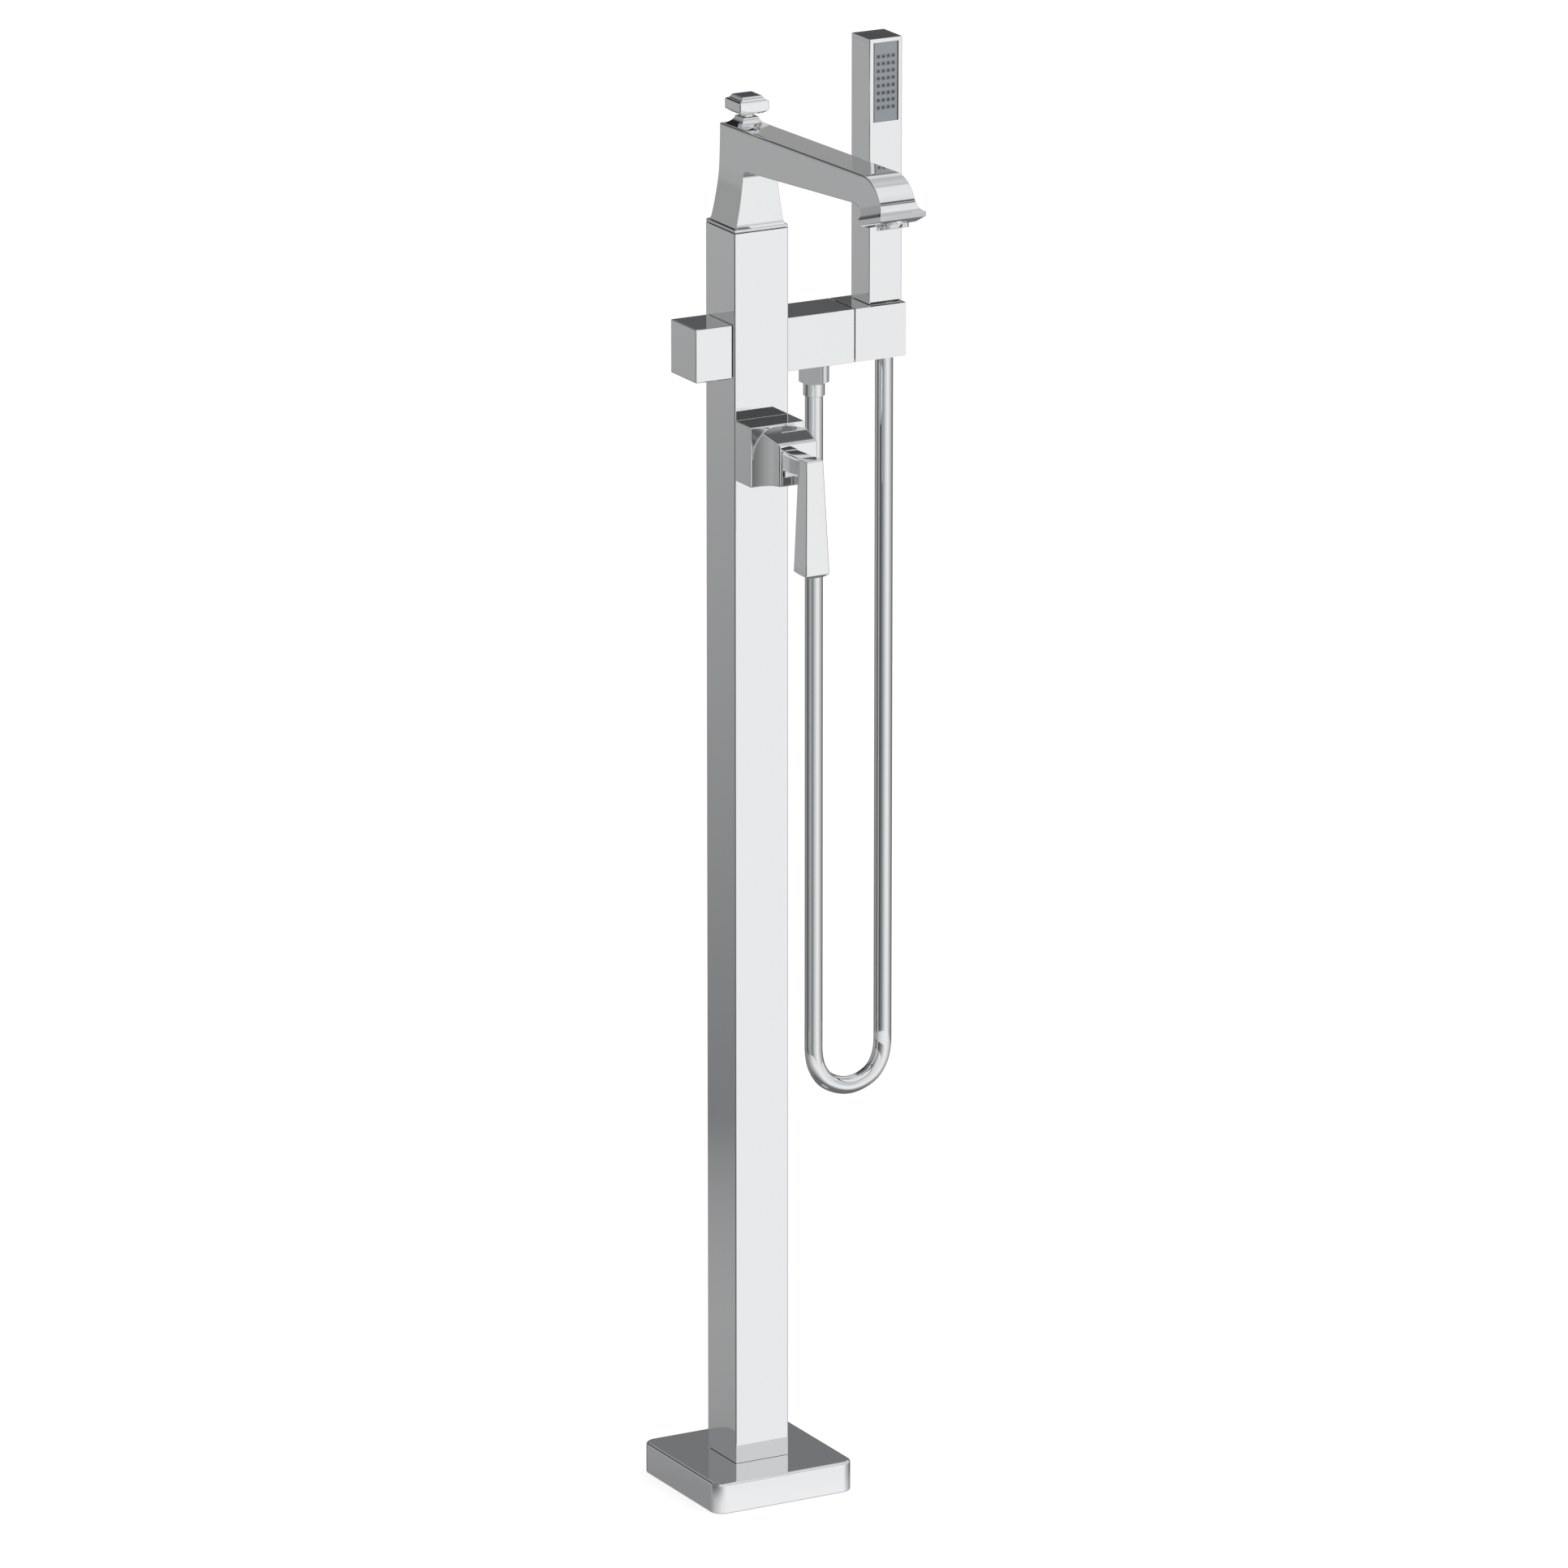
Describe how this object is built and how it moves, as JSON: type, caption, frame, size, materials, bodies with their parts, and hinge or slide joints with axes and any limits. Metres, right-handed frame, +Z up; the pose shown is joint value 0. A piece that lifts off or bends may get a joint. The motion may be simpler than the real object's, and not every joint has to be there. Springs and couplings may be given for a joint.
{
  "type": "floor standing bath filler",
  "caption": "Freestanding square-column bath filler with an arched spout, lift knob, joystick lever mixer and a square hand shower on a smooth hose.",
  "frame": {"origin": "centre of the base's underside, on the floor", "axes": "X to the right along the front, -Y towards the bather (the spout and lever point to -Y), Z up"},
  "size_m": [0.2029, 0.3271, 1.2295],
  "materials": {
    "chrome": "mirror-bright chrome plating on brass",
    "steel": "plain machined stainless steel",
    "brass": "raw machined brass",
    "copper": "drawn copper pipe",
    "rubber": "matt black seal rubber",
    "nozzle_rubber": "soft dark grey silicone",
    "white_plastic": "plain moulded acetal",
    "panel_plastic": "smooth grey moulded plastic",
    "hose_skin": "smooth silver hose skin"
  },
  "bodies": {
    "stand": {"floor_flange": "steel", "base_cover": "chrome", "column_tube": "chrome", "column_set_screws": "steel", "inlet_unions": "brass", "hot_supply_pipe": "copper", "cold_supply_pipe": "copper", "valve_body": "brass", "valve_cover": "chrome", "cartridge": "white_plastic", "cartridge_nut": "brass", "lower_riser_pipe": "copper", "manifold": "brass", "upper_riser_pipe": "copper", "crossbar_arm": "chrome", "arm_water_pipe": "copper", "outlet_elbow": "brass", "hose_nipple": "brass", "hose_washer": "rubber", "hose_nut": "chrome", "hose_ferrule": "chrome", "shower_hose": "hose_skin", "spout_bead": "chrome", "spout_body": "chrome", "spout_set_screw": "steel", "diverter_seat": "brass", "knob_pedestal": "chrome", "aerator_washer": "rubber", "aerator_insert": "white_plastic", "aerator_housing": "chrome", "holder_friction_washer": "rubber", "valve_bonnet": "chrome", "bonnet_set_screw": "steel", "joystick_fork": "steel"},
    "lift_knob": {"lift_knob_cap": "chrome", "lift_rod": "steel", "diverter_piston": "brass", "piston_seal": "rubber"},
    "shutoff": {"shutoff_knob": "chrome", "shutoff_spindle": "brass"},
    "holder": {"holder_block": "chrome", "holder_shaft": "steel", "holder_lock_nut": "steel"},
    "hand_shower": {"shower_shell": "chrome", "shower_top": "chrome", "spray_plate": "panel_plastic", "spray_nozzles": "nozzle_rubber", "shower_waterway": "white_plastic", "shower_foot": "brass", "hose_cone": "chrome"},
    "joystick_cross": {"joystick_cross": "steel"},
    "lever": {"lever": "chrome"}
  },
  "joints": [
    {"name": "lift_knob_slide", "type": "slide", "parent": "stand", "child": "lift_knob", "axis": [0, 0, 1], "range_m": [0, 0.01]},
    {"name": "shutoff_turn", "type": "hinge", "parent": "stand", "child": "shutoff", "pos_m": [-0.025, 0, 0.9845], "axis": [-1, 0, 0], "range_deg": [0, 90]},
    {"name": "holder_tilt", "type": "hinge", "parent": "stand", "child": "holder", "pos_m": [0.0888, 0, 0.9845], "axis": [1, 0, 0], "range_deg": [-10, 10], "deforming": ["shower_hose"]},
    {"name": "hand_shower_lift", "type": "slide", "parent": "holder", "child": "hand_shower", "axis": [0, 0, 1], "range_m": [0, 0.06], "deforming": ["shower_hose"]},
    {"name": "lever_temperature", "type": "hinge", "parent": "stand", "child": "joystick_cross", "pos_m": [0, -0.077, 0.9022], "axis": [0, 0, 1], "range_deg": [-12, 12]},
    {"name": "lever_flow", "type": "hinge", "parent": "joystick_cross", "child": "lever", "pos_m": [0, -0.077, 0.9022], "axis": [-1, 0, 0], "range_deg": [0, 12]}
  ]
}
